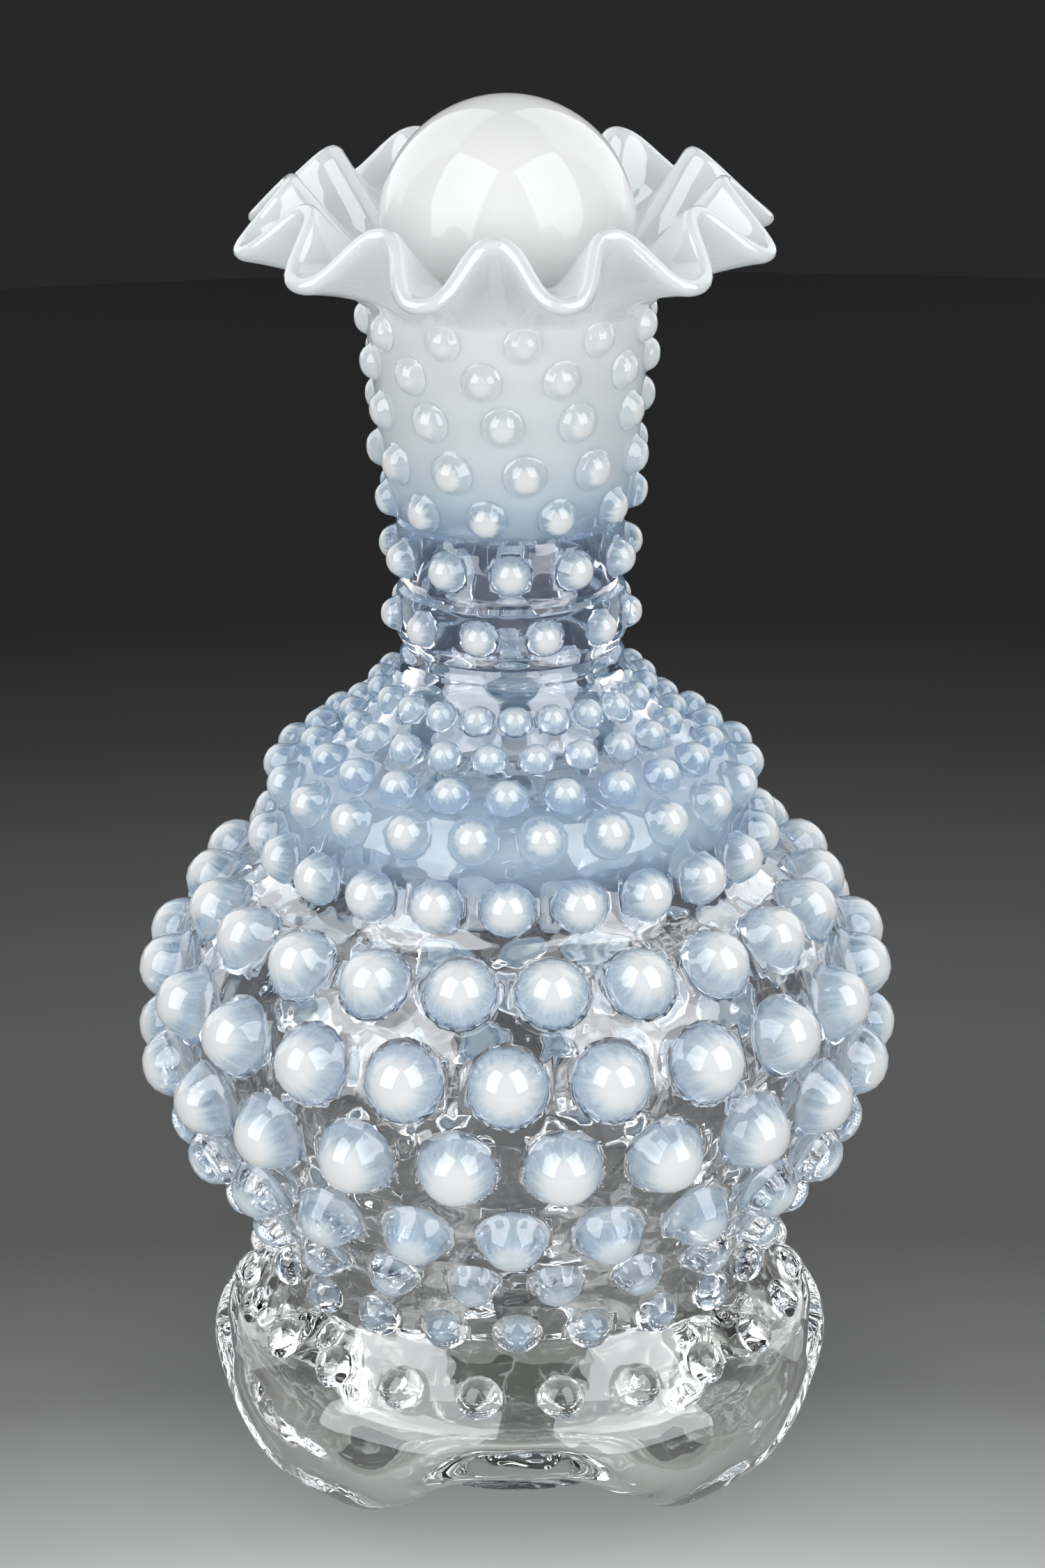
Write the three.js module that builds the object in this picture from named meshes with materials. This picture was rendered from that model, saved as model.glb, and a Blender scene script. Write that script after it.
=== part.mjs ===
// A hobnail glass cruet: a mould-blown bottle with a crimped rim, and the milk glass ball stopper
// that rests in its throat. Millimetres, +Z up, standing on z = 0 with its axis on Z.
import * as THREE from 'three';

// Foot
const footRadius = 43.2;
const footWidestHeight = 13.4;
const footHeight = 25.8;
const footWall = 3.6;
const footShoulderRise = 3.6;
const footShoulderTaper = 0.9;
const footArches = 4;
const archHeight = 8.8;
const archTopHalfAngle = THREE.MathUtils.degToRad(5.4);
const padHalfAngle = THREE.MathUtils.degToRad(9);
const padInnerRadius = 28;
const padOuterRadius = 32.5;
const bossRadius = 25;
const bossRise = 1;
const floorThickness = 2.8;
const floorRadius = 21;
const archFollow = 0.85;

// Body and neck
const bodyHeight = 86;
const bodyRadius = 47.4;
const bodyHobWidth = 9.7;
const bodyHobRise = 4.9;
const neckHeight = 51.4;
const neckHobWidth = 5.1;
const neckHobRise = 2.5;
const glassWall = 3;
const throatWall = 3.4;
const boreRadius = 12;
const bodyHobs = 22;
const neckHobs = 11;

// Crimped rim
const rimRadius = 31.6;
const rimRise = 9.5;
const rimLean = 3;
const rimWall = 2;
const rimRootWall = 4.4;
const rimRootAngle = THREE.MathUtils.degToRad(46.5);
const rimEdgeAngle = THREE.MathUtils.degToRad(29);
const rimFootLength = 1.5;
const crimps = 12;
const crimpDepth = 3.6;
const crimpGrowth = 1.6;
const crimpTurn = THREE.MathUtils.degToRad(-3);

// Stopper
const ballRadius = 16.5;
const seatLap = 1.2;
const seatClearance = 0.3;
const stemRadius = 5.8;
const stemLength = 1.8;
const discClearance = 2.9;
const discThickness = 4;
const discRound = 0.8;
const pegRadius = 5;
const pegLength = 18.5;
const pegFlare = 0.6;

// Rings of hobs on the body, from the foot up. Up is the height above the foot's waist, as a share
// of the body's height, and radius is that of the glass under the hob, as a share of the body's.
// Width and rise are shares of the body's largest hob.
const bodyRings = [
  { up: -0.042, radius: 0.797, width: 0.608, rise: 0.449 },
  { up: 0.05, radius: 0.717, width: 0.629, rise: 0.531 },
  { up: 0.159, radius: 0.804, width: 0.722, rise: 0.694 },
  { up: 0.266, radius: 0.918, width: 0.928, rise: 0.898 },
  { up: 0.395, radius: 1, width: 1, rise: 1 },
  { up: 0.523, radius: 0.979, width: 1, rise: 1 },
  { up: 0.641, radius: 0.854, width: 0.918, rise: 0.878 },
  { up: 0.736, radius: 0.688, width: 0.711, rise: 0.694 },
  { up: 0.835, radius: 0.65, width: 0.608, rise: 0.592 },
  { up: 0.883, radius: 0.553, width: 0.526, rise: 0.49 },
  { up: 0.922, radius: 0.447, width: 0.454, rise: 0.429 },
  { up: 0.969, radius: 0.369, width: 0.433, rise: 0.408 },
];

// Rings on the neck, from its foot up. Up is a share of the neck's height, and wall is the glass
// outside the bore, as a share of the throat's wall. Width and rise are shares of the neck's
// largest hob, and turn is in degrees. Those with no hob are grooves between the moulded bands.
const neckRings = [
  { up: 0.058, wall: 0.588 },
  { up: 0.148, wall: 0.794, width: 0.902, rise: 0.88, turn: 16.4 },
  { up: 0.222, wall: 0.5 },
  { up: 0.313, wall: 0.618, width: 1, rise: 1, turn: 0 },
  { up: 0.401, wall: 0.471 },
  { up: 0.459, wall: 0.765, width: 0.941, rise: 0.76, turn: 21.9 },
  { up: 0.572, wall: 0.853, width: 1, rise: 0.76, turn: 6.7 },
  { up: 0.698, wall: 0.912, width: 0.961, rise: 0.68, turn: -2.7 },
  { up: 0.812, wall: 0.971, width: 0.902, rise: 0.64, turn: 21.8 },
  { up: 0.904, wall: 1, width: 0.863, rise: 0.6, turn: 6 },
];

// Worked out from the sizes
const neckFoot = footHeight + bodyHeight;
const throatHeight = neckFoot + neckHeight;
const throatRadius = ballRadius - seatLap;
const seatDrop = Math.sqrt((ballRadius + seatClearance) ** 2 - throatRadius ** 2);
const ballHeight = throatHeight + seatDrop;
const floorHeight = bossRise + floorThickness;
const discTop = -ballRadius - stemLength;
const discBottom = discTop - discThickness;
const discRadius = boreAt(ballHeight + discBottom) - discClearance;

// Segments round the plain rings
const footSegments = footArches * 12;
const footInsideSegments = footArches * 8;
const boreSegments = 24;
const throatSegments = 36;
const rimSegments = crimps * 6;
const stopperSegments = 28;

function boreAt(height) {
  return THREE.MathUtils.lerp(boreRadius, throatRadius, (height - neckFoot) / neckHeight);
}

// A skin grows loop by loop along a path from its first pole to its last. Angles run from the
// front, -Y, towards +X, and each loop lists its points by rising angle.
class Skin {
  positions = [];
  triangles = [];

  point(angle, radius, height) {
    this.positions.push(radius * Math.sin(angle), -radius * Math.cos(angle), height);
    return { index: this.positions.length / 3 - 1, angle };
  }

  pointAt(vector, angle) {
    this.positions.push(vector.x, vector.y, vector.z);
    return { index: this.positions.length / 3 - 1, angle };
  }

  face(a, b, c) {
    this.triangles.push(a.index, b.index, c.index);
  }

  ring(segments, place) {
    return Array.from({ length: segments }, (_, i) => {
      const angle = (i / segments) * 2 * Math.PI;
      return place(angle);
    });
  }

  plainRing(segments, radius, height) {
    return this.ring(segments, (angle) => this.point(angle, radius, height));
  }

  // Joins two loops with a band of triangles, whatever their counts.
  zip(from, to) {
    const turn = 2 * Math.PI;
    const gap = (point) => Math.abs(wrapAngle(point.angle - from[0].angle));
    const start = to.reduce((best, point, i) => (gap(point) < gap(to[best]) ? i : best), 0);
    const first = from[0].angle + wrapAngle(to[start].angle - from[0].angle);
    const angleFrom = (i) => from[i % from.length].angle + (i >= from.length ? turn : 0);
    const angleTo = (j) => {
      const point = to[(start + j) % to.length];
      const ahead = (((point.angle - to[start].angle) % turn) + turn) % turn;
      return first + ahead + (j >= to.length ? turn : 0);
    };
    let i = 0;
    let j = 0;
    while (i < from.length || j < to.length) {
      const a = from[i % from.length];
      const b = to[(start + j) % to.length];
      const alongFrom = j >= to.length || (i < from.length && angleFrom(i + 1) <= angleTo(j + 1));
      if (alongFrom) {
        this.face(a, from[(i + 1) % from.length], b);
        i += 1;
      } else {
        this.face(a, to[(start + j + 1) % to.length], b);
        j += 1;
      }
    }
  }

  openFan(centre, loop) {
    loop.forEach((point, i) => this.face(centre, loop[(i + 1) % loop.length], point));
  }

  closeFan(loop, centre) {
    loop.forEach((point, i) => this.face(point, loop[(i + 1) % loop.length], centre));
  }

  geometry() {
    const geometry = new THREE.BufferGeometry();
    geometry.setAttribute('position', new THREE.Float32BufferAttribute(this.positions, 3));
    geometry.setIndex(this.triangles);
    geometry.computeVertexNormals();
    return geometry;
  }
}

function wrapAngle(angle) {
  const turn = 2 * Math.PI;
  return ((((angle + Math.PI) % turn) + turn) % turn) - Math.PI;
}

function alongSlope(angle) {
  return new THREE.Vector3(Math.cos(angle), 0, Math.sin(angle));
}

// A point of the rim's root, this deep in its glass below the throat's edge, on which the ball rests.
function rimRoot(depth) {
  const downward = alongSlope(rimRootAngle - Math.PI / 2);
  return new THREE.Vector3(throatRadius, 0, throatHeight).addScaledVector(downward, depth);
}

// The outside of the glass from the widest part of the foot to the start of the rim, as a curve in
// the plane of x and z that passes through each ring's own point. The foot's own loops end at the
// first. Every other ring of hobs on the body is turned by half a spacing.
function makeWall() {
  const rimFoot = rimRoot(rimRootWall).addScaledVector(alongSlope(rimRootAngle), rimFootLength);
  const rings = [
    { z: footWidestHeight, r: footRadius },
    { z: footWidestHeight + footShoulderRise, r: footRadius - footShoulderTaper },
    ...bodyRings.map((ring, i) => ({
      z: footHeight + ring.up * bodyHeight,
      r: ring.radius * bodyRadius,
      hobs: bodyHobs,
      hobWidth: ring.width * bodyHobWidth,
      hobRise: ring.rise * bodyHobRise,
      turn: i % 2 ? 0 : 180 / bodyHobs,
      onBody: true,
    })),
    ...neckRings.map((ring) => {
      const z = neckFoot + ring.up * neckHeight;
      const r = boreAt(z) + ring.wall * throatWall;
      if (!ring.width) return { z, r };
      const hobWidth = ring.width * neckHobWidth;
      return { z, r, hobs: neckHobs, hobWidth, hobRise: ring.rise * neckHobRise, turn: ring.turn };
    }),
    { z: rimFoot.z, r: rimFoot.x },
  ];
  const stepsPerRing = 24;
  const points = rings.map(({ r, z }) => new THREE.Vector3(r, 0, z));
  const curve = new THREE.CatmullRomCurve3(points, false, 'centripetal');
  curve.arcLengthDivisions = stepsPerRing * (rings.length - 1);
  const lengths = curve.getLengths();
  const total = lengths[lengths.length - 1];
  rings.forEach((ring, i) => {
    ring.distance = lengths[i * stepsPerRing];
  });
  const at = (distance) => curve.getPointAt(THREE.MathUtils.clamp(distance / total, 0, 1));
  const outward = (distance) => {
    const tangent = curve.getTangentAt(THREE.MathUtils.clamp(distance / total, 0, 1));
    return new THREE.Vector3(tangent.z, 0, -tangent.x);
  };
  return { rings, at, outward };
}

function turned(vector, angle) {
  return new THREE.Vector3(vector.x * Math.sin(angle), -vector.x * Math.cos(angle), vector.z);
}

// One ring of hobs: six-sided domes that grow out of the wall, with the wall between them.
function hobRing(skin, wall, ring) {
  const shoulderWidth = 0.72;
  const shoulderRise = 0.62;
  const half = ring.hobWidth / 2;
  const hobs = Array.from({ length: ring.hobs }, (_, i) => {
    const angle = THREE.MathUtils.degToRad(ring.turn + (i / ring.hobs) * 360);
    const lift = wall.outward(ring.distance);
    const onWall = (side, up, rise) => {
      const foot = wall.at(ring.distance + up);
      const pointAngle = angle + side / ring.r;
      const place = turned(foot, pointAngle).addScaledVector(turned(lift, angle), rise);
      return skin.pointAt(place, pointAngle);
    };
    const hexagon = (size, rise) => Array.from({ length: 6 }, (_, corner) => {
      const around = Math.PI / 2 + (corner * Math.PI) / 3;
      return onWall(size * Math.cos(around), size * Math.sin(around), rise);
    });
    const base = hexagon(half, 0);
    const shoulder = hexagon(half * shoulderWidth, ring.hobRise * shoulderRise);
    const tip = onWall(0, 0, ring.hobRise);
    base.forEach((corner, k) => {
      const next = (k + 1) % 6;
      skin.face(corner, base[next], shoulder[next]);
      skin.face(corner, shoulder[next], shoulder[k]);
      skin.face(shoulder[k], shoulder[next], tip);
    });
    const [top, upperLeft, lowerLeft, bottom, lowerRight, upperRight] = base;
    return { top, upperLeft, lowerLeft, bottom, lowerRight, upperRight };
  });
  hobs.forEach((hob, i) => {
    const next = hobs[(i + 1) % ring.hobs];
    skin.face(hob.lowerRight, next.lowerLeft, next.upperLeft);
    skin.face(hob.lowerRight, next.upperLeft, hob.upperRight);
  });
  return {
    lower: hobs.flatMap((hob) => [hob.lowerLeft, hob.bottom, hob.lowerRight]),
    upper: hobs.flatMap((hob) => [hob.upperLeft, hob.top, hob.upperRight]),
  };
}

// How far the foot's underside is raised at an angle: fully at the middle of an arch, not on a pad.
function archLift(angle) {
  const offset = Math.abs(wrapAngle(angle * footArches) / footArches);
  const edge = Math.PI / footArches - padHalfAngle;
  return archHeight * (1 - THREE.MathUtils.smoothstep(offset, archTopHalfAngle, edge));
}

// The underside and the rounding of the foot, as loops from the boss in the middle to its widest
// part. Four arches lift the edge between the flat pads that it stands on.
function footLoops(skin) {
  const ring = (radius, height, lift) => skin.ring(footSegments, (angle) => (
    skin.point(angle, radius, height + lift * archLift(angle))
  ));
  const rounding = [
    { out: 0.34, up: 0.09, lift: 0.99 },
    { out: 0.63, up: 0.21, lift: 0.94 },
    { out: 0.83, up: 0.37, lift: 0.81 },
    { out: 0.95, up: 0.6, lift: 0.59 },
    { out: 1, up: 1, lift: 0.16 },
  ];
  return [
    skin.plainRing(boreSegments, bossRadius, bossRise),
    ring(padInnerRadius, 0, 1),
    ring(padOuterRadius, 0, 1),
    ...rounding.map(({ out, up, lift }) => (
      ring(THREE.MathUtils.lerp(padOuterRadius, footRadius, out), footWidestHeight * up, lift)
    )),
  ];
}

// The middle of the rim's glass: from the throat outwards as share goes from 0 to 1, with the
// crimps growing towards the edge. The rim was crimped by hand, and its front leans down.
function makeRim() {
  const root = rimRoot(rimRootWall / 2);
  const edge = new THREE.Vector3(rimRadius, 0, throatHeight + rimRise);
  const reach = root.distanceTo(edge) / 3;
  const flare = new THREE.CubicBezierCurve3(
    root,
    root.clone().addScaledVector(alongSlope(rimRootAngle), reach),
    edge.clone().addScaledVector(alongSlope(rimEdgeAngle), -reach),
    edge,
  );
  const sharpness = 1.2;
  const middle = (share, angle) => {
    const wave = Math.tanh(sharpness * Math.cos(crimps * (angle - crimpTurn))) / Math.tanh(sharpness);
    const lift = crimpDepth * wave * share ** crimpGrowth;
    const lean = rimLean * Math.cos(angle) * share;
    const mean = flare.getPointAt(share);
    return turned(new THREE.Vector3(mean.x - lift, 0, mean.z + lift - lean), angle);
  };
  const step = 1e-4;
  const outward = (share, angle) => {
    const inner = Math.max(share - step, 0);
    return middle(Math.min(share + step, 1), angle).sub(middle(inner, angle)).normalize();
  };
  const upward = (share, angle) => {
    const along = middle(share, angle + step).sub(middle(share, angle - step));
    return outward(share, angle).cross(along).normalize();
  };
  return { middle, outward, upward };
}

// The rim's loops: out along its underside, round its lip and back along its upper side.
function rimLoops(skin) {
  const rim = makeRim();
  const stations = [
    { share: 0.2, segments: throatSegments },
    { share: 0.5, segments: rimSegments },
    { share: 0.78, segments: rimSegments },
    { share: 1, segments: rimSegments },
  ];
  const side = (sign) => ({ share, segments }) => skin.ring(segments, (angle) => {
    const thickness = THREE.MathUtils.lerp(rimRootWall, rimWall, share);
    const place = rim.middle(share, angle);
    place.addScaledVector(rim.upward(share, angle), (sign * thickness) / 2);
    return skin.pointAt(place, angle);
  });
  const lip = skin.ring(rimSegments, (angle) => {
    const place = rim.middle(1, angle).addScaledVector(rim.outward(1, angle), rimWall / 2);
    return skin.pointAt(place, angle);
  });
  return [...stations.map(side(-1)), lip, ...stations.toReversed().map(side(1))];
}

// The inside of the glass, as loops from the throat down to the floor, which rises over the arches.
function insideLoops(skin, wall) {
  const neckHeights = [0, 0.3, 0.62, 0.97].map((share) => throatHeight - share * neckHeight);
  const neck = neckHeights.map((height, i) => (
    skin.plainRing(i ? boreSegments : throatSegments, boreAt(height), height)
  ));
  const stops = wall.rings.filter((ring) => ring.onBody).toReversed();
  const body = stops.map(({ distance }) => {
    const place = wall.at(distance).addScaledVector(wall.outward(distance), -glassWall);
    return skin.plainRing(boreSegments, place.x, place.z);
  });
  const foot = [
    { out: 1, up: 1, lift: 0.42 },
    { out: 0.93, up: 0.55, lift: 0.77 },
    { out: 0.72, up: 0.22, lift: 0.95 },
    { out: 0.4, up: 0.04, lift: 1 },
    { out: 0, up: 0, lift: 1 },
  ].map(({ out, up, lift }) => skin.ring(footInsideSegments, (angle) => skin.point(
    angle,
    THREE.MathUtils.lerp(padInnerRadius, footRadius - footWall, out),
    THREE.MathUtils.lerp(floorHeight, footWidestHeight, up) + archFollow * lift * archLift(angle),
  )));
  return [...neck, ...body, ...foot, skin.plainRing(boreSegments, floorRadius, floorHeight)];
}

function makeBottle() {
  const skin = new Skin();
  const wall = makeWall();
  const loops = footLoops(skin);
  skin.openFan(skin.point(0, 0, bossRise), loops[0]);
  loops.slice(1).forEach((loop, i) => skin.zip(loops[i], loop));
  let last = loops[loops.length - 1];
  for (const ring of wall.rings.slice(1)) {
    if (ring.hobs) {
      const row = hobRing(skin, wall, ring);
      skin.zip(last, row.lower);
      last = row.upper;
    } else {
      const segments = ring.z < footHeight ? footSegments : throatSegments;
      const loop = skin.plainRing(segments, ring.r, ring.z);
      skin.zip(last, loop);
      last = loop;
    }
  }
  for (const loop of [...rimLoops(skin), ...insideLoops(skin, wall)]) {
    skin.zip(last, loop);
    last = loop;
  }
  skin.closeFan(last, skin.point(0, 0, floorHeight));
  const material = new THREE.MeshStandardMaterial({
    color: 0xc4d4e6, roughness: 0.05, metalness: 0, transparent: true, opacity: 0.45,
  });
  const mesh = new THREE.Mesh(skin.geometry(), material);
  mesh.name = 'bottle';
  return mesh;
}

// The stopper is one piece of milk glass: a ball, a short stem, a disc and a peg, turned as one
// outline about its own axis with the ball's centre at the origin.
function makeStopper() {
  const pegBottom = discBottom - pegLength;
  const outline = [
    new THREE.Vector2(0, pegBottom),
    new THREE.Vector2(pegRadius, pegBottom),
    new THREE.Vector2(pegRadius + pegFlare, pegBottom + pegLength * 0.12),
    new THREE.Vector2(pegRadius, pegBottom + pegLength * 0.4),
    new THREE.Vector2(pegRadius, discBottom),
    new THREE.Vector2(discRadius - discRound, discBottom),
    new THREE.Vector2(discRadius, discBottom + discRound),
    new THREE.Vector2(discRadius, discTop - discRound),
    new THREE.Vector2(discRadius - discRound, discTop),
    new THREE.Vector2(stemRadius, discTop),
  ];
  const ballSteps = 14;
  const stemAngle = Math.asin(stemRadius / ballRadius);
  for (let i = 0; i < ballSteps; i += 1) {
    const angle = THREE.MathUtils.lerp(stemAngle, Math.PI, i / ballSteps);
    outline.push(new THREE.Vector2(ballRadius * Math.sin(angle), -ballRadius * Math.cos(angle)));
  }
  outline.push(new THREE.Vector2(0, ballRadius));
  const geometry = new THREE.LatheGeometry(outline, stopperSegments).rotateX(Math.PI / 2);
  const material = new THREE.MeshStandardMaterial({ color: 0xf2f3f4, roughness: 0.12, metalness: 0 });
  const mesh = new THREE.Mesh(geometry, material);
  mesh.name = 'stopper';
  mesh.position.z = ballHeight;
  return mesh;
}

const cruet = new THREE.Group();
cruet.add(makeBottle(), makeStopper());

export default cruet;
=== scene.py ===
import math
import bpy
from mathutils import Matrix, Vector
from mathutils.geometry import interpolate_bezier


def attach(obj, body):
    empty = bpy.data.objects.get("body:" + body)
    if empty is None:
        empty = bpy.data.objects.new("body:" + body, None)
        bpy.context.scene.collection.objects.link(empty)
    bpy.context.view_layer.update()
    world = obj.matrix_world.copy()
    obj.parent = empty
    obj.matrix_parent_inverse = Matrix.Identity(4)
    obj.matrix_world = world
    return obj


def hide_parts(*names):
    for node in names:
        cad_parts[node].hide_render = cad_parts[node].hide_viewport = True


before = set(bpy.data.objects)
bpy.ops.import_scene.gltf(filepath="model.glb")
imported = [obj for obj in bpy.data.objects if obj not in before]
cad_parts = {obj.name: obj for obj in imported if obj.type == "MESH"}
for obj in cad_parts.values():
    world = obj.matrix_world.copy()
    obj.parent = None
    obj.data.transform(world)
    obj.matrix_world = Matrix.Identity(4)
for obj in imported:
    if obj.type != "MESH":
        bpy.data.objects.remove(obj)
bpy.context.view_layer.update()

# The bottle's glass. It is one piece, blown into a hobnail mould: a foot on four pads, a round body
# and a banded neck. Its mouth is drawn out of the neck while hot, flared, and crimped by hand.
mm = 0.001
turns = 240
body_wall = 3.0
foot_top = 18.0
arch_lift = 8.8
arch_start = math.radians(5.4)
arch_end = math.radians(36)
boss_edge = 25.0
pad_edge = 28.0
floor_height = 3.8
floor_edge = 21.0
floor_follow = 0.85
floor_slack = 0.3
floor_lift_height = 17.3
inside_reach = 40
neck_foot = 111.8
neck_top_foot = 132.3
bore_foot = 12.0
throat_height = 163.2
throat_middle = 17.0
throat_bore = 15.3
rim_root_wall = 4.4
lip_wall = 2.0
rim_length = 18.5
rim_lean = 3.0
crimps = 12
crimp_depth = 3.6
crimp_growth = 1.6
crimp_turn = math.radians(3)
crimp_squareness = 1.2

# Each ring of hobs: the glass's radius and height under it, the hobs' width and rise, how many,
# how far they are turned in degrees, and how milky they struck.
hob_rings = [
    (37.8, 22.2, 5.9, 2.2, 22, 8.18, 0.0),
    (34.0, 30.1, 6.1, 2.6, 22, -0.4, 0.4),
    (38.1, 39.5, 7.0, 3.4, 22, 7.5, 0.6),
    (43.5, 48.7, 9.0, 4.4, 22, -0.9, 0.75),
    (47.4, 59.8, 9.7, 4.7, 22, 7.1, 1.0),
    (46.4, 70.8, 9.7, 4.9, 22, -1.3, 1.0),
    (40.5, 80.9, 8.9, 4.3, 22, 6.6, 1.0),
    (32.6, 89.1, 6.9, 3.4, 22, -1.5, 1.0),
    (30.8, 97.6, 5.9, 2.9, 22, 6.8, 0.95),
    (26.2, 101.7, 5.1, 2.4, 22, -1.7, 0.85),
    (21.2, 105.1, 4.4, 2.1, 22, 8.2, 0.85),
    (17.5, 109.1, 4.2, 2.0, 22, 1.1, 0.8),
    (15.2, 119.4, 4.6, 2.2, 11, 16.4, 1.0),
    (15.1, 127.9, 5.1, 2.5, 11, 0.0, 1.0),
    (16.1, 135.4, 4.8, 1.9, 11, 21.9, 1.0),
    (16.8, 141.2, 5.1, 1.9, 11, 6.7, 1.0),
    (17.4, 147.7, 4.9, 1.7, 11, -2.7, 1.0),
    (18.0, 153.5, 4.6, 1.6, 11, 21.8, 1.0),
    (18.4, 158.3, 4.4, 1.5, 11, 6.0, 1.0),
]
ring_points = [Vector(ring[:2]) for ring in hob_rings]
body_points = ring_points[:12]
collar_foot = Vector((34.4, 84.8))


def smooth_line(points, steps):
    """A smooth line through points of (radius, height), with this many steps from each to the next."""
    ends = [2 * points[0] - points[1], *points, 2 * points[-1] - points[-2]]
    line = [points[0]]
    for before, a, b, after in zip(ends, ends[1:], ends[2:], ends[3:]):
        reach = (b - a).length / 3
        leave = a + (b - before).normalized() * reach
        arrive = b - (after - a).normalized() * reach
        line += [Vector(p[:2]) for p in interpolate_bezier(a, leave, arrive, b, steps + 1)[1:]]
    return line


def straight_line(a, b, steps):
    return [a.lerp(b, step / steps) for step in range(steps + 1)]


def offset_line(points, distance):
    """The same line, moved sideways by a distance: to the right of the way that it runs."""
    moved = []
    for i, point in enumerate(points):
        along = points[min(i + 1, len(points) - 1)] - points[max(i - 1, 0)]
        moved.append(point + Vector((along.y, -along.x)).normalized() * distance)
    return moved


def vectors(*points):
    return [Vector(point) for point in points]


# The outside, from the middle of the underside up to the throat.
underside = vectors(
    (0, 1), (9, 1), (18, 1), (boss_edge, 1), (25.8, 0.75), (27.2, 0.25), (pad_edge, 0), (30.3, 0))
foot_side = vectors(
    (32.5, 0), (36.1, 1.23), (39.2, 2.8), (41.4, 5.0), (42.7, 8.0), (43.2, 13.4), (42.4, 17.0))
foot_line = smooth_line(foot_side + body_points[:1], 4)
body_side = smooth_line(body_points[:7] + [collar_foot] + body_points[7:] + vectors((15.5, 111.4)), 6)
lower_band = smooth_line(
    vectors((15.5, 111.4), (15.0, 112.6), (14.9, 113.8), (14.2, 114.8), (14.8, 115.8)), 2)
ridges = []
for height in (116.6, 118.0, 119.4, 120.8, 122.0):
    ridges += vectors((15.2, height), (15.05, height + 0.7))
upper_band = smooth_line(
    vectors((14.3, 123.2), (14.85, 124.1), (15.1, 125.6), (15.15, 129.4), (14.95, 131.9)), 3)
neck_edge = vectors((14.45, neck_top_foot), (14.9, 132.6), (15.5, 133.3))
neck_side = smooth_line(ring_points[14:] + vectors((18.5, 160.1)), 5)
outside = underside + foot_line + body_side[1:] + lower_band[1:] + ridges
outside += upper_band + neck_edge + neck_side

# The inside, from the throat down to the middle of the floor.
inner_rings = offset_line([foot_side[-1]] + body_points[:7] + [collar_foot] + body_points[7:], -body_wall)
inner_rings = inner_rings[:0:-1]
throat_end = Vector((throat_bore, throat_height))
bore_end = Vector((bore_foot, neck_foot))
floor_corner = vectors((38.6, 17.0), (39.6, 13.4), (38.8, 9.1), (36.4, 5.9), (32.6, 4.2), (28, floor_height))
bore = straight_line(throat_end, bore_end, 6)
hollow = smooth_line([bore_end] + inner_rings + floor_corner, 3)
floor = straight_line(floor_corner[-1], Vector((0, floor_height)), 7)
inside = bore + hollow[1:] + floor[1:]


def mouth_line(inset):
    """The mouth before it is flared: a straight tube with a rounded lip, as a line over its edge."""
    lip = lip_wall / 2 - inset
    lip_base = throat_height + rim_length - lip_wall / 2
    steps = 16
    lip_steps = 6
    outer, inner = [], []
    for step in range(1, steps + 1):
        height = throat_height + (lip_base - throat_height) * step / steps
        share = (height - throat_height) / rim_length
        half_wall = (rim_root_wall + (lip_wall - rim_root_wall) * share) / 2 - inset
        outer.append(Vector((throat_middle + half_wall, height)))
        inner.append(Vector((throat_middle - half_wall, height)))
    arc = []
    for step in range(1, lip_steps):
        turn = math.pi * step / lip_steps
        arc.append(Vector((throat_middle + lip * math.cos(turn), lip_base + lip * math.sin(turn))))
    return outer + arc + inner[::-1]


def deselect():
    if bpy.context.object and bpy.context.object.mode == "EDIT":
        bpy.ops.object.mode_set(mode="OBJECT")
    bpy.ops.object.select_all(action="DESELECT")


def spun(name, outline):
    """Draws an outline of (radius, height) point by point, and spins it round the axis."""
    deselect()
    bpy.ops.mesh.primitive_circle_add(vertices=3, radius=mm)
    piece = bpy.context.object
    piece.name = name
    bpy.ops.object.mode_set(mode="EDIT")
    bpy.ops.mesh.select_all(action="SELECT")
    bpy.ops.mesh.merge(type="CENTER")
    bpy.ops.transform.translate(value=(outline[0].x * mm, 0, outline[0].y * mm))
    for before, after in zip(outline, outline[1:]):
        step = (after - before) * mm
        bpy.ops.mesh.extrude_region_move(TRANSFORM_OT_translate={"value": (step.x, 0, step.y)})
    bpy.ops.mesh.select_all(action="SELECT")
    bpy.ops.mesh.spin(steps=turns, angle=math.tau, center=(0, 0, 0), axis=(0, 0, 1))
    bpy.ops.mesh.select_all(action="SELECT")
    bpy.ops.mesh.remove_doubles(threshold=mm / 100)
    bpy.ops.mesh.normals_make_consistent(inside=False)
    bpy.ops.object.mode_set(mode="OBJECT")
    return piece


def smoothstep(low, high, value):
    share = min(max((value - low) / (high - low), 0), 1)
    return share * share * (3 - 2 * share)


def raise_arches(piece):
    """Lifts the foot between its four pads, most on the underside and not at all at its shoulder.
    The inside follows it less, so the glass is thinner over the arches."""
    quarter = math.tau / 4
    for vertex in piece.data.vertices:
        x, y, z = vertex.co / mm
        radius = math.hypot(x, y)
        offset = abs((math.atan2(x, -y) + quarter / 2) % quarter - quarter / 2)
        lift = arch_lift * (1 - smoothstep(arch_start, arch_end, offset))
        if z > floor_height - floor_slack and radius < inside_reach:
            lift *= floor_follow * (1 - smoothstep(0, floor_lift_height, z - floor_height))
            lift *= smoothstep(floor_edge, pad_edge, radius)
        else:
            lift *= 1 - smoothstep(0, foot_top, z)
            lift *= smoothstep(boss_edge, pad_edge, radius)
        vertex.co.z += lift * mm


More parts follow.
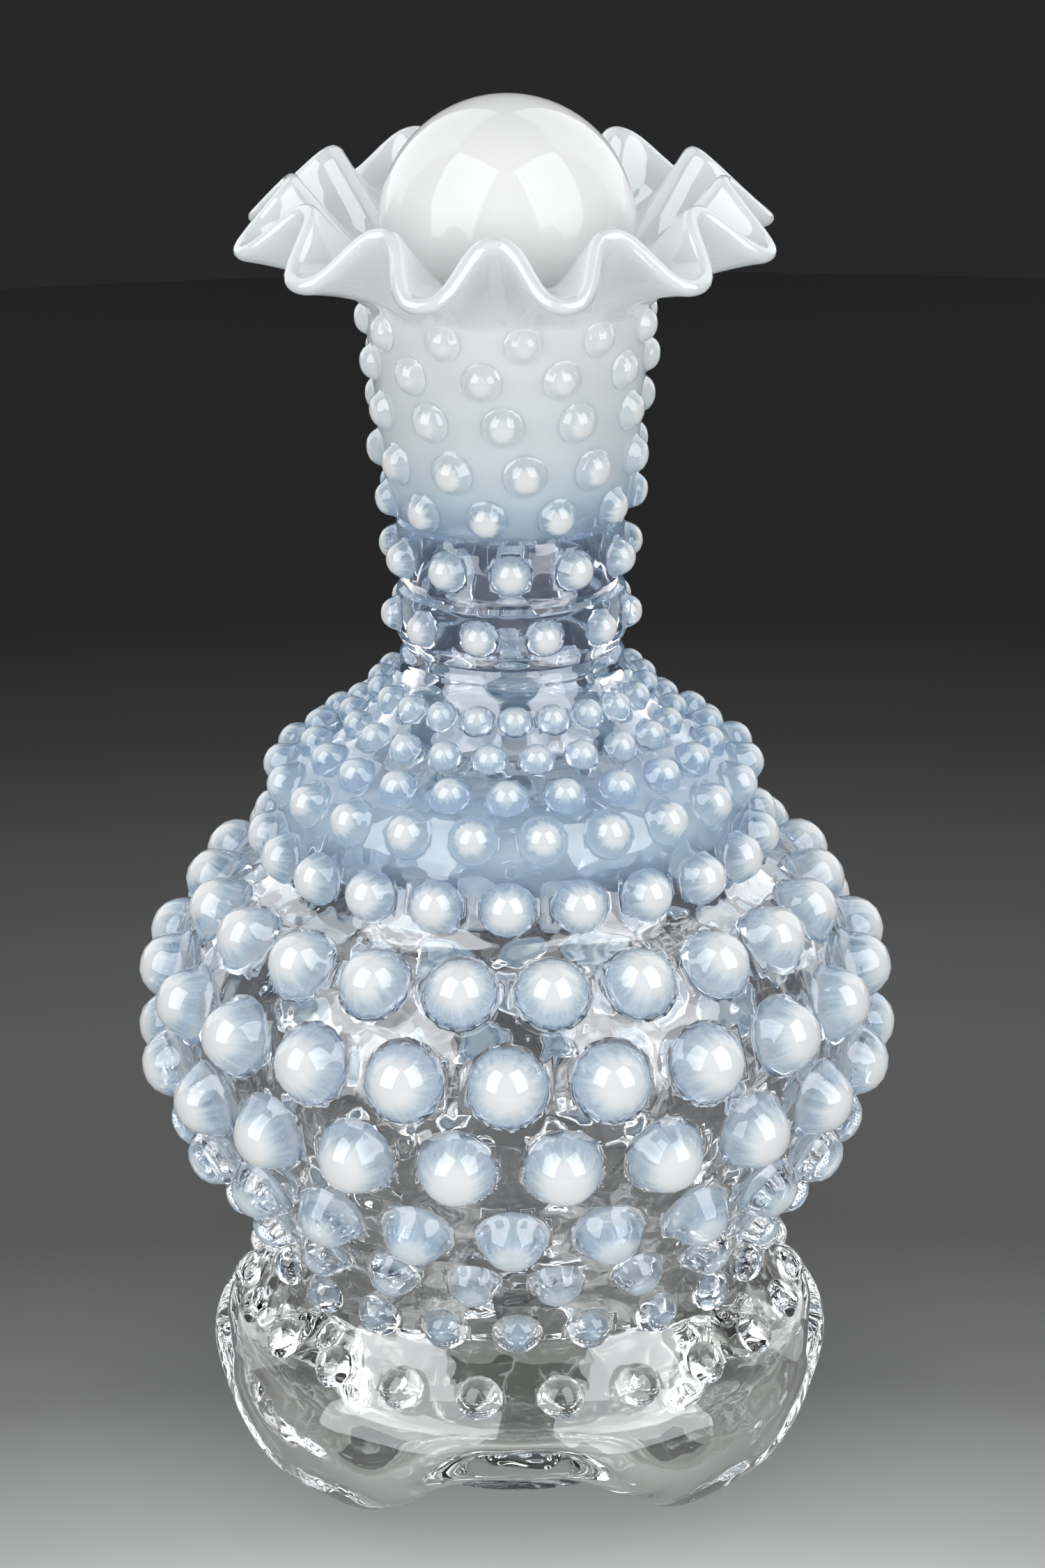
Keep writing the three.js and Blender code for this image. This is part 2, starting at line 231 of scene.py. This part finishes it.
flare = vectors((16.9, 161.7), (21.1, 166.1), (26.2, 169.7), (31.6, 172.7))
flare_steps = 200
flare_line = [Vector(p[:2]) for p in interpolate_bezier(*flare, flare_steps)]
flare_reach = [0]
for before, after in zip(flare_line, flare_line[1:]):
    flare_reach.append(flare_reach[-1] + (after - before).length)


def flare_at(share):
    reach = min(max(share, 0), 1) * flare_reach[-1]
    place = 0
    while place < len(flare_reach) - 2 and flare_reach[place + 1] < reach:
        place += 1
    step = (reach - flare_reach[place]) / (flare_reach[place + 1] - flare_reach[place])
    return flare_line[place].lerp(flare_line[place + 1], step)


def crimped_place(angle, share):
    """The middle of the mouth's wall at this angle, from the throat (share 0) to the lip (share 1)."""
    wave = math.tanh(crimp_squareness * math.cos(crimps * (angle + crimp_turn))) / math.tanh(crimp_squareness)
    lift = crimp_depth * wave * share ** crimp_growth
    middle = flare_at(share)
    radius = middle.x - lift
    height = middle.y + lift - rim_lean * math.cos(angle) * share
    return Vector((radius * math.sin(angle), -radius * math.cos(angle), height))


def crimp_mouth(piece):
    """Flares the straight tube above the throat, and folds its edge into crimps."""
    small = 0.002
    for vertex in piece.data.vertices:
        x, y, z = vertex.co / mm
        if z > throat_height + small:
            angle = math.atan2(x, -y)
            share = (z - throat_height) / rim_length
            held = min(share, 1 - small)
            place = crimped_place(angle, held)
            around = crimped_place(angle + small, held) - crimped_place(angle - small, held)
            outwards = crimped_place(angle, held + small) - crimped_place(angle, held - small)
            normal = around.cross(outwards).normalized()
            place += outwards.normalized() * (share - held) * rim_length
            place += normal * (math.hypot(x, y) - throat_middle)
            vertex.co = place * mm


bottle_glass = spun("bottle_glass", outside + mouth_line(0) + inside)
raise_arches(bottle_glass)
crimp_mouth(bottle_glass)

# One hob: a dome that runs out into the wall in a small fillet, on a root that goes into the wall.
# It is made one unit across and high, and each point keeps its place on that dome for the material.
hob_rounds = 14
hob_cap = (0.33, 0.95)
hob_side = ((0.60, 0.80), (0.80, 0.56), (0.92, 0.31), (0.99, 0.13), (1.07, 0.0), (1.16, -0.08), (1.12, -0.32))
deselect()
bpy.ops.mesh.primitive_cone_add(
    vertices=hob_rounds, radius1=hob_cap[0], radius2=0, depth=1 - hob_cap[1], end_fill_type="NOTHING",
    location=(0, 0, (1 + hob_cap[1]) / 2))
hob = bpy.context.object
hob.name = "hob"
bpy.ops.object.transform_apply()
bpy.ops.object.mode_set(mode="EDIT")
bpy.ops.mesh.select_mode(type="VERT")
bpy.ops.mesh.select_all(action="DESELECT")
bpy.ops.object.mode_set(mode="OBJECT")
for vertex in hob.data.vertices:
    vertex.select = vertex.co.z < hob_cap[1] + 0.01
bpy.ops.object.mode_set(mode="EDIT")
before = hob_cap
for width, height in hob_side:
    bpy.ops.mesh.extrude_region_move(TRANSFORM_OT_translate={"value": (0, 0, height - before[1])})
    bpy.ops.transform.resize(value=(width / before[0], width / before[0], 1))
    before = (width, height)
bpy.ops.mesh.edge_face_add()
bpy.ops.mesh.select_all(action="SELECT")
bpy.ops.mesh.normals_make_consistent(inside=False)
bpy.ops.object.mode_set(mode="OBJECT")
on_hob = hob.data.attributes.new("on_hob", "FLOAT_VECTOR", "POINT")
for vertex in hob.data.vertices:
    on_hob.data[vertex.index].vector = vertex.co


def wall_normal(point):
    """The way that the glass faces at a ring of hobs, as (radius, height)."""
    nearest = min(range(len(outside)), key=lambda i: (outside[i] - point).length)
    along = outside[nearest + 1] - outside[nearest - 1]
    return Vector((along.y, -along.x)).normalized()


# Each hob gets a number of its own, from its ring and its place in it, for the streaks in its milk.
seed_per_ring = 7.31
seed_per_hob = 3.77
seed_span = 10


def hob_copies(name, body_share, neck_share):
    """Copies of the hob on every ring, at a share of their full size, joined to one piece."""
    copies = []
    for number, (radius, height, width, rise, count, turn, milk) in enumerate(hob_rings):
        share = neck_share if height > neck_top_foot else body_share
        facing = wall_normal(Vector((radius, height)))
        size = Matrix.Diagonal((width / 2 * share, width / 2 * share, rise * share, 1))
        tilt = Matrix.Rotation(math.atan2(facing.x, facing.y), 4, "X")
        for place in range(count):
            angle = math.radians(turn) + math.tau * place / count
            copy = bpy.data.objects.new(name, hob.data.copy())
            bpy.context.collection.objects.link(copy)
            out = Matrix.Translation((0, -radius, height))
            copy.data.transform(Matrix.Rotation(angle, 4, "Z") @ out @ tilt @ size)
            copy.data.transform(Matrix.Scale(mm, 4))
            seed = (number * seed_per_ring + place * seed_per_hob) % seed_span
            for mark, value in (("milk", milk), ("seed", seed)):
                attribute = copy.data.attributes.new(mark, "FLOAT", "POINT")
                attribute.data.foreach_set("value", [value] * len(copy.data.vertices))
            copies.append(copy)
    deselect()
    for copy in copies:
        copy.select_set(True)
    bpy.context.view_layer.objects.active = copies[0]
    bpy.ops.object.join()
    copies[0].name = name
    return copies[0]


hob_glass = hob_copies("hob_glass", 1, 1)
deselect()
bpy.context.view_layer.objects.active = bottle_glass
bottle_glass.select_set(True)
union = bottle_glass.modifiers.new("hobs", "BOOLEAN")
union.operation = "UNION"
union.solver = "MANIFOLD"
union.object = hob_glass
bpy.ops.object.modifier_apply(modifier=union.name)
bpy.data.objects.remove(hob_glass)


def shade_smooth(piece, sharp_angle):
    """Smooth shading, apart from edges sharper than this angle in degrees."""
    deselect()
    piece.select_set(True)
    bpy.context.view_layer.objects.active = piece
    bpy.ops.object.shade_smooth_by_angle(angle=math.radians(sharp_angle))


def cover_with(piece, material):
    piece.data.materials.clear()
    piece.data.materials.append(material)


def set_values(node, values):
    for name, value in values.items():
        node.inputs[name].default_value = value


def new_material(name):
    material = bpy.data.materials.new(name)
    material.use_nodes = True
    nodes = material.node_tree.nodes
    return material, nodes, material.node_tree.links, nodes["Principled BSDF"]


shade_smooth(bottle_glass, 38)
glass, nodes, links, shader = new_material("clear_glass")
set_values(shader, {"Transmission Weight": 1, "Roughness": 0, "IOR": 1.5})
coordinates = nodes.new("ShaderNodeTexCoord")
split = nodes.new("ShaderNodeSeparateXYZ")
links.new(coordinates.outputs["Object"], split.inputs[0])
green_up_to = 0.012
clear_from = 0.06
tint = nodes.new("ShaderNodeMapRange")
set_values(tint, {"From Min": green_up_to, "From Max": clear_from})
links.new(split.outputs["Z"], tint.inputs["Value"])
tint_colour = nodes.new("ShaderNodeValToRGB")
tint_colour.color_ramp.elements[0].color = (0.972, 0.978, 0.95, 1)
tint_colour.color_ramp.elements[1].color = (0.972, 0.98, 0.99, 1)
links.new(tint.outputs["Result"], tint_colour.inputs["Fac"])
links.new(tint_colour.outputs["Color"], shader.inputs["Base Color"])
ripples = nodes.new("ShaderNodeTexNoise")
set_values(ripples, {"Scale": 110, "Detail": 1.5})
swells = nodes.new("ShaderNodeTexNoise")
set_values(swells, {"Scale": 42, "Detail": 1})
wave_height = nodes.new("ShaderNodeMath")
wave_height.operation = "MULTIPLY_ADD"
wave_height.inputs[1].default_value = 0.5
links.new(coordinates.outputs["Object"], ripples.inputs["Vector"])
links.new(coordinates.outputs["Object"], swells.inputs["Vector"])
links.new(ripples.outputs["Fac"], wave_height.inputs[0])
links.new(swells.outputs["Fac"], wave_height.inputs[2])
wave_bump = nodes.new("ShaderNodeBump")
set_values(wave_bump, {"Strength": 0.7, "Distance": 0.0016})
links.new(wave_height.outputs[0], wave_bump.inputs["Height"])
links.new(wave_bump.outputs["Normal"], shader.inputs["Normal"])
light_path = nodes.new("ShaderNodeLightPath")
clear = nodes.new("ShaderNodeBsdfTransparent")
clear.inputs["Color"].default_value = (0.93, 0.94, 0.93, 1)
mix = nodes.new("ShaderNodeMixShader")
let_through = nodes.new("ShaderNodeMath")
let_through.operation = "MAXIMUM"
links.new(light_path.outputs["Is Shadow Ray"], let_through.inputs[0])
links.new(light_path.outputs["Is Diffuse Ray"], let_through.inputs[1])
links.new(let_through.outputs[0], mix.inputs["Fac"])
links.new(shader.outputs[0], mix.inputs[1])
links.new(clear.outputs[0], mix.inputs[2])
links.new(mix.outputs[0], nodes["Material Output"].inputs["Surface"])
cover_with(bottle_glass, glass)
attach(bottle_glass, "bottle")
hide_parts("bottle")

# The milk in the hobs. This glass turns milky where it cools and is heated again, so each hob has a
# white heart under its clear skin. Where the milk thins out to the sides, it is blue and streaked.
milk_share_body = 0.9
milk_share_neck = 0.95
hob_milk = hob_copies("hob_milk", milk_share_body, milk_share_neck)
shade_smooth(hob_milk, 40)
bpy.data.objects.remove(hob)

opal = bpy.data.node_groups.new("opal_milk", "ShaderNodeTree")
opal.interface.new_socket("Depth", in_out="INPUT", socket_type="NodeSocketFloat")
opal.interface.new_socket("Color", in_out="OUTPUT", socket_type="NodeSocketColor")
opal.interface.new_socket("Alpha", in_out="OUTPUT", socket_type="NodeSocketFloat")
depth = opal.nodes.new("NodeGroupInput")
opal_out = opal.nodes.new("NodeGroupOutput")


def ramp(tree, stops):
    """A ramp of (place, colour or grey), in that node tree."""
    node = tree.nodes.new("ShaderNodeValToRGB")
    elements = node.color_ramp.elements
    while len(elements) < len(stops):
        elements.new(0.5)
    for element, (place, value) in zip(elements, stops):
        element.position = place
        element.color = (*value, 1) if isinstance(value, tuple) else (value, value, value, 1)
    return node


thin_to_thick = ramp(opal, [
    (0, (0.24, 0.42, 0.74)), (0.35, (0.53, 0.71, 0.91)),
    (0.7, (0.76, 0.86, 0.93)), (1, (0.885, 0.905, 0.925))])
cover = ramp(opal, [(0, 0.0), (0.35, 0.34), (0.7, 0.78), (1, 1.0)])
opal.links.new(depth.outputs["Depth"], thin_to_thick.inputs["Fac"])
opal.links.new(depth.outputs["Depth"], cover.inputs["Fac"])
opal.links.new(thin_to_thick.outputs["Color"], opal_out.inputs["Color"])
opal.links.new(cover.outputs["Color"], opal_out.inputs["Alpha"])


def math_node(nodes, links, operation, first, second=None, third=None):
    node = nodes.new("ShaderNodeMath")
    node.operation = operation
    for socket, value in zip(node.inputs, (first, second, third)):
        if isinstance(value, (int, float)):
            socket.default_value = value
        elif value is not None:
            links.new(value, socket)
    return node.outputs[0]


# The haze: how thick the milk is at each height, in clouds. Its ramp runs over heights up to 0.18 m.
haze_height = 0.18
haze = bpy.data.node_groups.new("haze_by_height", "ShaderNodeTree")
haze.interface.new_socket("Place", in_out="INPUT", socket_type="NodeSocketVector")
haze.interface.new_socket("Depth", in_out="OUTPUT", socket_type="NodeSocketFloat")
place = haze.nodes.new("NodeGroupInput")
haze_out = haze.nodes.new("NodeGroupOutput")
clouds = haze.nodes.new("ShaderNodeTexNoise")
set_values(clouds, {"Scale": 45, "Detail": 2})
haze.links.new(place.outputs["Place"], clouds.inputs["Vector"])
split = haze.nodes.new("ShaderNodeSeparateXYZ")
haze.links.new(place.outputs["Place"], split.inputs[0])
drift = math_node(haze.nodes, haze.links, "MULTIPLY_ADD", clouds.outputs["Fac"], 0.006, -0.003)
height = math_node(haze.nodes, haze.links, "ADD", split.outputs["Z"], drift)
share = math_node(haze.nodes, haze.links, "DIVIDE", height, haze_height)
by_height = ramp(haze, [
    (0.30, 0.0), (0.49, 0.02), (0.515, 0.3), (0.535, 0.54), (0.552, 0.44), (0.572, 0.1), (0.61, 0.03),
    (0.728, 0.06), (0.738, 0.28), (0.765, 0.62), (0.80, 0.8), (0.86, 0.93), (0.90, 1.0)])
haze.links.new(share, by_height.inputs["Fac"])
haze.links.new(by_height.outputs["Color"], haze_out.inputs["Depth"])


def attribute_node(nodes, name):
    node = nodes.new("ShaderNodeAttribute")
    node.attribute_name = name
    return node


def group_node(nodes, tree):
    node = nodes.new("ShaderNodeGroup")
    node.node_tree = tree
    return node


milk, nodes, links, shader = new_material("milk_in_hobs")
set_values(shader, {"Roughness": 0.5, "Specular IOR Level": 0})
strength = attribute_node(nodes, "milk")
seed = attribute_node(nodes, "seed")
on_hob = attribute_node(nodes, "on_hob")
split = nodes.new("ShaderNodeSeparateXYZ")
links.new(on_hob.outputs["Vector"], split.inputs[0])
sideways = nodes.new("ShaderNodeCombineXYZ")
links.new(split.outputs["X"], sideways.inputs["X"])
links.new(split.outputs["Y"], sideways.inputs["Y"])
from_tip = nodes.new("ShaderNodeVectorMath")
from_tip.operation = "LENGTH"
links.new(sideways.outputs[0], from_tip.inputs[0])
around = nodes.new("ShaderNodeVectorMath")
around.operation = "NORMALIZE"
links.new(sideways.outputs[0], around.inputs[0])
spread = nodes.new("ShaderNodeVectorMath")
spread.operation = "MULTIPLY_ADD"
spread.inputs[1].default_value = (3.4, 3.4, 3.4)
links.new(around.outputs[0], spread.inputs[0])
down = from_tip.outputs["Value"]
shift = nodes.new("ShaderNodeCombineXYZ")
links.new(math_node(nodes, links, "MULTIPLY_ADD", seed.outputs["Fac"], 1.7, down), shift.inputs["Z"])
links.new(shift.outputs[0], spread.inputs[2])
streaks = nodes.new("ShaderNodeTexNoise")
set_values(streaks, {"Scale": 1, "Detail": 2.5})
links.new(spread.outputs[0], streaks.inputs["Vector"])
streak = math_node(nodes, links, "MULTIPLY_ADD", streaks.outputs["Fac"], 0.56, -0.28)
streak = math_node(nodes, links, "MULTIPLY", streak, down)
clearer = math_node(nodes, links, "MULTIPLY_ADD", strength.outputs["Fac"], -0.6, 0.6)
edge = math_node(nodes, links, "ADD", math_node(nodes, links, "ADD", down, streak), clearer)
fade = nodes.new("ShaderNodeMapRange")
fade.interpolation_type = "SMOOTHSTEP"
set_values(fade, {"From Min": 0.5, "From Max": 1.22, "To Min": 1, "To Max": 0})
links.new(edge, fade.inputs["Value"])
heart = math_node(nodes, links, "MULTIPLY", fade.outputs["Result"], strength.outputs["Fac"])
coordinates = nodes.new("ShaderNodeTexCoord")
haze_node = group_node(nodes, haze)
links.new(coordinates.outputs["Object"], haze_node.inputs["Place"])
milk_depth = math_node(nodes, links, "MAXIMUM", heart, haze_node.outputs["Depth"])
opal_node = group_node(nodes, opal)
links.new(milk_depth, opal_node.inputs["Depth"])
links.new(opal_node.outputs["Color"], shader.inputs["Base Color"])
links.new(opal_node.outputs["Alpha"], shader.inputs["Alpha"])
cover_with(hob_milk, milk)
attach(hob_milk, "bottle")

# The milk in the wall. It is a blue haze in the body, starts as a blue edge at the foot of the neck's
# top part, and is thick and white in the crimped rim, which was heated the most.
skin = 0.35
milk_foot = 45
milk_outside = [point for point in offset_line(outside, -skin) if point.y > milk_foot]
milk_inside = [point for point in offset_line(inside, -skin) if point.y > milk_foot]
wall_milk = spun("wall_milk", milk_outside + mouth_line(skin) + milk_inside + [milk_outside[0]])
crimp_mouth(wall_milk)
shade_smooth(wall_milk, 50)
milk, nodes, links, shader = new_material("milk_in_wall")
set_values(shader, {"Roughness": 0.5, "Specular IOR Level": 0, "Subsurface Weight": 0.35})
set_values(shader, {"Subsurface Radius": (0.0018, 0.0018, 0.0018), "Subsurface Scale": 1})
coordinates = nodes.new("ShaderNodeTexCoord")
haze_node = group_node(nodes, haze)
links.new(coordinates.outputs["Object"], haze_node.inputs["Place"])
opal_node = group_node(nodes, opal)
links.new(haze_node.outputs["Depth"], opal_node.inputs["Depth"])
links.new(opal_node.outputs["Color"], shader.inputs["Base Color"])
links.new(opal_node.outputs["Alpha"], shader.inputs["Alpha"])
cover_with(wall_milk, milk)
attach(wall_milk, "bottle")

# The stopper. It is solid milk glass: a ball that rests on the throat, and under it a short stem, a
# round disc and a peg with a slightly flared end, all one piece.
ball_radius = 16.5
ball_height = 170.14
stem_radius = 5.8
disc_radius = 11.4
disc_top = 151.84
disc_foot = 147.84
peg_radius = 5.0
peg_foot = 129.34
ball_steps = 36
ball_end = 32
ball = []
for step in range(ball_end + 1):
    turn = math.pi * step / ball_steps
    place = Vector((ball_radius * math.sin(turn), ball_height + ball_radius * math.cos(turn)))
    if place.x > stem_radius + 0.6 or place.y > ball_height:
        ball.append(place)
stem = smooth_line(vectors((stem_radius + 0.5, 154.6), (stem_radius, 153.4), (stem_radius + 0.5, 152.2)), 3)
disc_side = vectors((10.3, disc_top - 0.1), (disc_radius, 149.84), (10.3, disc_foot + 0.1))
disc = smooth_line(vectors((7.5, disc_top)) + disc_side + vectors((6.5, disc_foot)), 5)
peg = smooth_line(vectors((peg_radius, 146.9), (4.9, 140), (5.1, 133.5), (5.55, 130.9), (4.8, 129.5)), 4)
stopper = spun("milk_stopper", ball + stem + disc + peg + vectors((3.4, peg_foot), (0, peg_foot)))
shade_smooth(stopper, 50)
milk_glass, nodes, links, shader = new_material("milk_glass")
set_values(shader, {"Roughness": 0.02, "Specular IOR Level": 0.22, "Subsurface Weight": 0.3})
set_values(shader, {"Subsurface Radius": (0.006, 0.006, 0.006), "Subsurface Scale": 1})
coordinates = nodes.new("ShaderNodeTexCoord")
clouds = nodes.new("ShaderNodeTexNoise")
set_values(clouds, {"Scale": 60, "Detail": 3})
links.new(coordinates.outputs["Object"], clouds.inputs["Vector"])
whites = ramp(milk_glass.node_tree, [(0.3, (0.85, 0.853, 0.85)), (0.7, (0.89, 0.89, 0.882))])
links.new(clouds.outputs["Fac"], whites.inputs["Fac"])
links.new(whites.outputs["Color"], shader.inputs["Base Color"])
cover_with(stopper, milk_glass)
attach(stopper, "stopper")
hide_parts("stopper")

# The floor: a plain sheet of paper with light painted on it. A pale painted pool of light lies in front of
# the bottle and falls off to painted shade further off, so that the white glass stands out.
deselect()
bpy.ops.mesh.primitive_circle_add(vertices=96, radius=0.85, fill_type="NGON")
floor_sheet = bpy.context.object
floor_sheet.name = "floor"
painted_light_floor, nodes, links, shader = new_material("floor_painted_light")
set_values(shader, {"Roughness": 0.75, "Specular IOR Level": 0})
coordinates = nodes.new("ShaderNodeTexCoord")
far = nodes.new("ShaderNodeVectorMath")
far.operation = "DISTANCE"
far.inputs[1].default_value = (0, -0.3, 0)
links.new(coordinates.outputs["Object"], far.inputs[0])
# This ramp paints the light on the floor: a bright painted pool near the bottle, growing darker with distance
# as painted falloff and shade.
painted_light_falloff = ramp(painted_light_floor.node_tree, [
    (0.25, (0.74, 0.74, 0.736)), (0.27, (0.49, 0.49, 0.487)), (0.31, (0.22, 0.22, 0.217)),
    (0.36, (0.122, 0.122, 0.12)), (0.44, (0.116, 0.116, 0.115)), (0.52, (0.079, 0.079, 0.079)),
    (0.6, (0.044, 0.044, 0.044)), (0.7, (0.0225, 0.0225, 0.0225)),
    (0.95, (0.0245, 0.0245, 0.0245)), (1, (0.0265, 0.0265, 0.0265))])
links.new(far.outputs["Value"], painted_light_falloff.inputs["Fac"])
links.new(painted_light_falloff.outputs["Color"], shader.inputs["Base Color"])
floor_sheet.data.materials.append(painted_light_floor)


# The studio: a large soft lamp on each side of the front and of the back, one overhead and one low
# in front. The tall windows at the four corners only show as reflections in the glass.
def softbox(name, azimuth, elevation, distance, width, height, power):
    """A soft lamp that looks at the bottle's middle. Azimuth 0 is the front, 90 is the right."""
    lamp = bpy.data.objects.new(name, bpy.data.lights.new(name, "AREA"))
    bpy.context.collection.objects.link(lamp)
    lamp.data.shape = "RECTANGLE"
    lamp.data.size = width
    lamp.data.size_y = height
    lamp.data.energy = power
    turn, rise = math.radians(azimuth), math.radians(elevation)
    middle = Vector((0, 0, 0.1))
    way = Vector((math.sin(turn) * math.cos(rise), -math.cos(turn) * math.cos(rise), math.sin(rise)))
    lamp.location = middle + way * distance
    lamp.rotation_euler = way.to_track_quat("Z", "Y").to_euler()
    lamp.visible_camera = False
    lamp.visible_glossy = False
    return lamp


softbox("left_softbox", -60, 12, 0.9, 0.75, 0.5, 2.6)
softbox("right_softbox", 60, 12, 0.9, 0.75, 0.5, 2.6)
softbox("back_left_softbox", -130, 20, 0.9, 0.6, 0.6, 2.4)
softbox("back_right_softbox", 130, 20, 0.9, 0.6, 0.6, 2.4)
softbox("top_softbox", 0, 78, 1.1, 0.6, 0.6, 3.5)
softbox("front_fill", 0, 3, 1.2, 1.3, 0.4, 4.9)
for name, azimuth, power in (
        ("left_window", -50, 16), ("right_window", 50, 16),
        ("back_left_window", -135, 5), ("back_right_window", 135, 5)):
    window = softbox(name, azimuth, 32, 0.9, 0.75, 1.15, power)
    window.data.color = (0.94, 0.965, 1)
    window.visible_glossy = True
    window.visible_diffuse = False

# The room: soft light from all round. The camera and the glass see a dark room in its place.
world = bpy.data.worlds.new("studio")
world.use_nodes = True
nodes, links = world.node_tree.nodes, world.node_tree.links
light_path = nodes.new("ShaderNodeLightPath")
path = light_path.outputs
seen = math_node(nodes, links, "MAXIMUM", path["Is Camera Ray"], path["Is Glossy Ray"])
seen = math_node(nodes, links, "MAXIMUM", seen, path["Is Transmission Ray"])
room = ramp(world.node_tree, [(0, (0.25, 0.253, 0.26)), (1, (0.021, 0.021, 0.022))])
links.new(seen, room.inputs["Fac"])
links.new(room.outputs["Color"], nodes["Background"].inputs["Color"])
bpy.context.scene.world = world

# The camera: where the photograph was taken from, about 50 cm off and a little above.
camera = bpy.data.objects.new("camera", bpy.data.cameras.new("camera"))
bpy.context.collection.objects.link(camera)
camera.data.lens = 79.47
camera.data.sensor_width = 36
camera.data.sensor_fit = "AUTO"
camera.location = (0.0012, -0.440, 0.2489)
tilt = Matrix.Rotation(math.radians(70.67), 4, "X") @ Matrix.Rotation(math.radians(-0.61), 4, "Z")
camera.rotation_euler = tilt.to_euler()
scene = bpy.context.scene
scene.camera = camera
scene.view_settings.view_transform = "Standard"
scene.cycles.caustics_reflective = False
scene.cycles.caustics_refractive = False
scene.cycles.max_bounces = 28
scene.cycles.transmission_bounces = 28
scene.cycles.glossy_bounces = 12
scene.cycles.transparent_max_bounces = 48
